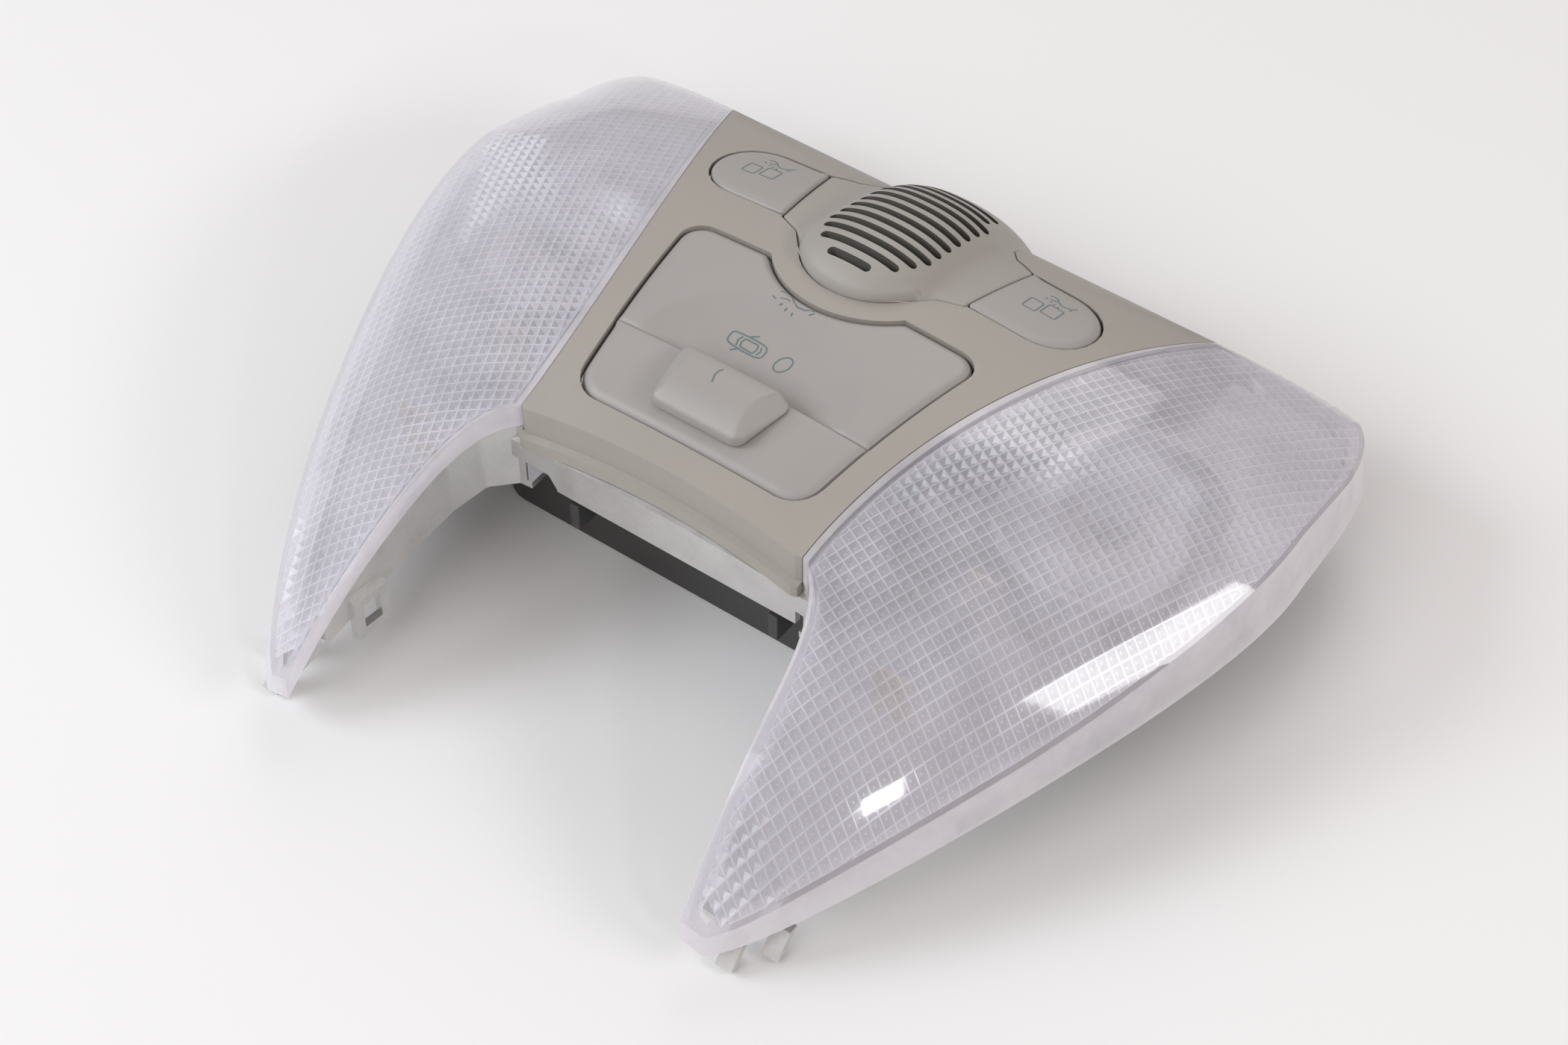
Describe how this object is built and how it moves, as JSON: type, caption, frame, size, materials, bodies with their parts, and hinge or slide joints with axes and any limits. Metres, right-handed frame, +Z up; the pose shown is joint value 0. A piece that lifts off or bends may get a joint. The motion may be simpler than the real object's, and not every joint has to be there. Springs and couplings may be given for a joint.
{
  "type": "car dome light",
  "caption": "Roof console lamp with two swept prismatic lenses, a sliding switch, two push buttons and a slotted grille",
  "frame": {"origin": "centre of the bounding box on the underside of the base", "axes": "X across the console, Y from the lens tips to the rear edge, Z up out of the face; it rests face up as in the picture"},
  "size_m": [0.1838, 0.1574, 0.0546],
  "materials": {
    "panel_beige": "fine grained",
    "trim_grey": "smooth satin",
    "lens_clear": "moulded prisms inside a clear rim",
    "metallised": "satin metallised plastic",
    "base_black": "moulded",
    "switch_black": "moulded",
    "holder_white": "moulded",
    "board_green": "solder mask",
    "contact_metal": "tinned",
    "capsule_metal": "drawn",
    "screw_steel": "zinc plated",
    "bulb_glass": "clear"
  },
  "bodies": {
    "console": {"front_panel": "panel_beige", "switch_plate": "trim_grey", "slider_track": "trim_grey", "grille_cover": "panel_beige", "lens_left": "lens_clear", "lens_right": "lens_clear", "reflector_housing": "metallised", "rear_base": "base_black", "circuit_board": "board_green", "slide_switch": "switch_black", "push_switch_left": "switch_black", "push_switch_right": "switch_black", "microphone_capsule": "capsule_metal", "connector_socket": "switch_black", "connector_pins": "contact_metal", "spot_bulb_left": "bulb_glass", "spot_bulb_right": "bulb_glass", "bulb_holder_left": "holder_white", "bulb_holder_right": "holder_white", "festoon_bulb_left": "bulb_glass", "festoon_bulb_right": "bulb_glass", "festoon_clips_left": "contact_metal", "festoon_clips_right": "contact_metal", "housing_screws": "screw_steel"},
    "knob": {"slide_knob": "trim_grey"},
    "button_l": {"button_left": "trim_grey"},
    "button_r": {"button_right": "trim_grey"}
  },
  "joints": [
    {"name": "knob_slide", "type": "slide", "parent": "console", "child": "knob", "axis": [1, 0, 0], "range_m": [0, 0.0073]},
    {"name": "button_left_press", "type": "slide", "parent": "console", "child": "button_l", "axis": [0, 0, -1], "range_m": [0, 0.0016], "stiffness_N_per_m": 500, "springref_m": -0.001},
    {"name": "button_right_press", "type": "slide", "parent": "console", "child": "button_r", "axis": [0, 0, -1], "range_m": [0, 0.0016], "stiffness_N_per_m": 500, "springref_m": -0.001}
  ]
}
